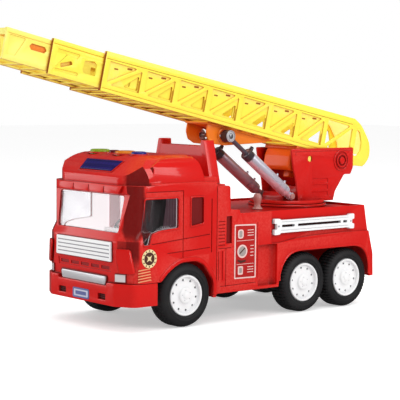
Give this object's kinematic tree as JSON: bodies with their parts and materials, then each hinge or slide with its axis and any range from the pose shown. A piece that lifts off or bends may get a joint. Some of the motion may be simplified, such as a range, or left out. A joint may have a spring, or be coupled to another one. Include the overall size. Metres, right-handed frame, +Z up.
{
  "type": "toy fire engine",
  "caption": "Toy fire engine with cab-over front, three axles, slewing turret and a lifting telescopic ladder.",
  "frame": {"origin": "on the ground, under the centre of the overall bounding box", "axes": "+X towards the nose along the length, +Y towards the truck's left across the width, +Z up"},
  "size_m": [0.5048, 0.1554, 0.2988],
  "materials": {
    "red_shell": "glossy moulded red",
    "yellow_ladder": "glossy moulded yellow",
    "black_base": "fine matt texture",
    "tyre_black": "moulded tread, matt",
    "white_plastic": "satin white",
    "steel": "drawn wire and plated steel",
    "silver_cylinder": "metallised silver plastic",
    "clear_pane": "clear moulded pane",
    "dark_pane": "smoked pane",
    "blue_lens": "deep blue translucent lens",
    "interior_grey": "light grey moulding",
    "pink_post": "satin pale pink",
    "board_green": "circuit board",
    "button_green": "glossy",
    "button_red": "glossy",
    "button_orange": "glossy",
    "button_blue": "glossy"
  },
  "bodies": {
    "chassis": {"chassis_frame": "black_base", "battery_box": "black_base", "battery_1": "steel", "battery_2": "steel", "battery_cover": "black_base", "chassis_screw_front": "steel", "chassis_screw_rear": "steel", "cab_shell": "red_shell", "windscreen": "clear_pane", "side_window_left": "dark_pane", "side_window_right": "dark_pane", "cab_interior": "interior_grey", "steering_wheel": "black_base", "front_bumper": "red_shell", "grille_panel": "white_plastic", "lower_grille_strip": "silver_cylinder", "headlight_left": "clear_pane", "headlight_right": "clear_pane", "corner_deflector_left": "red_shell", "corner_deflector_right": "red_shell", "roof_light_lens": "blue_lens", "sound_board": "board_green", "speaker": "black_base", "rear_body": "red_shell", "side_ladder_left": "white_plastic", "side_ladder_right": "white_plastic", "ladder_rest": "red_shell", "deck_post": "pink_post", "turntable_ring": "red_shell"},
    "front_wheels": {"axle_front": "steel", "tyre_front_left": "tyre_black", "tyre_front_right": "tyre_black", "hub_front_left": "white_plastic", "hub_front_right": "white_plastic"},
    "middle_wheels": {"axle_middle": "steel", "tyre_middle_left": "tyre_black", "tyre_middle_right": "tyre_black", "hub_middle_left": "white_plastic", "hub_middle_right": "white_plastic"},
    "rear_wheels": {"axle_rear": "steel", "tyre_rear_left": "tyre_black", "tyre_rear_right": "tyre_black", "hub_rear_left": "white_plastic", "hub_rear_right": "white_plastic"},
    "turret": {"turret_body": "red_shell", "turret_retainer": "black_base", "ladder_pivot_pin": "steel", "cylinder_base_pin": "steel"},
    "ladder": {"ladder_main_section": "yellow_ladder"},
    "ladder_middle": {"ladder_middle_section": "yellow_ladder"},
    "ladder_tip": {"ladder_tip_section": "yellow_ladder"},
    "lift_barrels": {"cylinder_barrel_left": "silver_cylinder", "cylinder_barrel_right": "silver_cylinder"},
    "lift_rods": {"cylinder_rod_left": "silver_cylinder", "cylinder_rod_right": "silver_cylinder", "cylinder_cross_pin": "steel"},
    "button_green": {"push_button_green": "button_green"},
    "button_red": {"push_button_red": "button_red"},
    "button_orange": {"push_button_orange": "button_orange"},
    "button_blue": {"push_button_blue": "button_blue"}
  },
  "joints": [
    {"name": "front_axle_spin", "type": "hinge", "parent": "chassis", "child": "front_wheels", "pos_m": [0.06525, 0, 0.0327], "axis": [0, 1, 0], "continuous": true},
    {"name": "middle_axle_spin", "type": "hinge", "parent": "chassis", "child": "middle_wheels", "pos_m": [-0.102, 0, 0.0327], "axis": [0, 1, 0], "continuous": true},
    {"name": "rear_axle_spin", "type": "hinge", "parent": "chassis", "child": "rear_wheels", "pos_m": [-0.16825, 0, 0.0327], "axis": [0, 1, 0], "continuous": true},
    {"name": "turret_slew", "type": "hinge", "parent": "chassis", "child": "turret", "pos_m": [-0.14425, 0, 0.11375], "axis": [0, 0, 1], "continuous": true},
    {"name": "ladder_lift", "type": "hinge", "parent": "turret", "child": "ladder", "pos_m": [-0.20125, 0, 0.16112], "axis": [0, -1, 0], "range_deg": [-7, 35]},
    {"name": "ladder_middle_slide", "type": "slide", "parent": "ladder", "child": "ladder_middle", "axis": [0.9767, 0, 0.2147], "range_m": [-0.0575, 0.1]},
    {"name": "ladder_tip_slide", "type": "slide", "parent": "ladder_middle", "child": "ladder_tip", "axis": [0.9767, 0, 0.2147], "range_m": [-0.0475, 0.09]},
    {"name": "lift_cylinder_pivot", "type": "hinge", "parent": "turret", "child": "lift_barrels", "pos_m": [-0.1255, 0, 0.1225], "axis": [0, -1, 0], "range_deg": [-8, 39.2]},
    {"name": "lift_rod_slide", "type": "slide", "parent": "lift_barrels", "child": "lift_rods", "axis": [0.8081, 0, 0.589], "range_m": [-0.0102, 0.0498]},
    {"name": "button_green_press", "type": "slide", "parent": "chassis", "child": "button_green", "axis": [0, 0, -1], "range_m": [0, 0.002]},
    {"name": "button_red_press", "type": "slide", "parent": "chassis", "child": "button_red", "axis": [0, 0, -1], "range_m": [0, 0.002]},
    {"name": "button_orange_press", "type": "slide", "parent": "chassis", "child": "button_orange", "axis": [0, 0, -1], "range_m": [0, 0.002]},
    {"name": "button_blue_press", "type": "slide", "parent": "chassis", "child": "button_blue", "axis": [0, 0, -1], "range_m": [0, 0.002]}
  ],
  "couplings": [
    {"joint": "lift_cylinder_pivot", "follows": "ladder_lift", "ratio": 1.106},
    {"joint": "lift_rod_slide", "follows": "ladder_lift", "m_per_rad": 0.08}
  ]
}
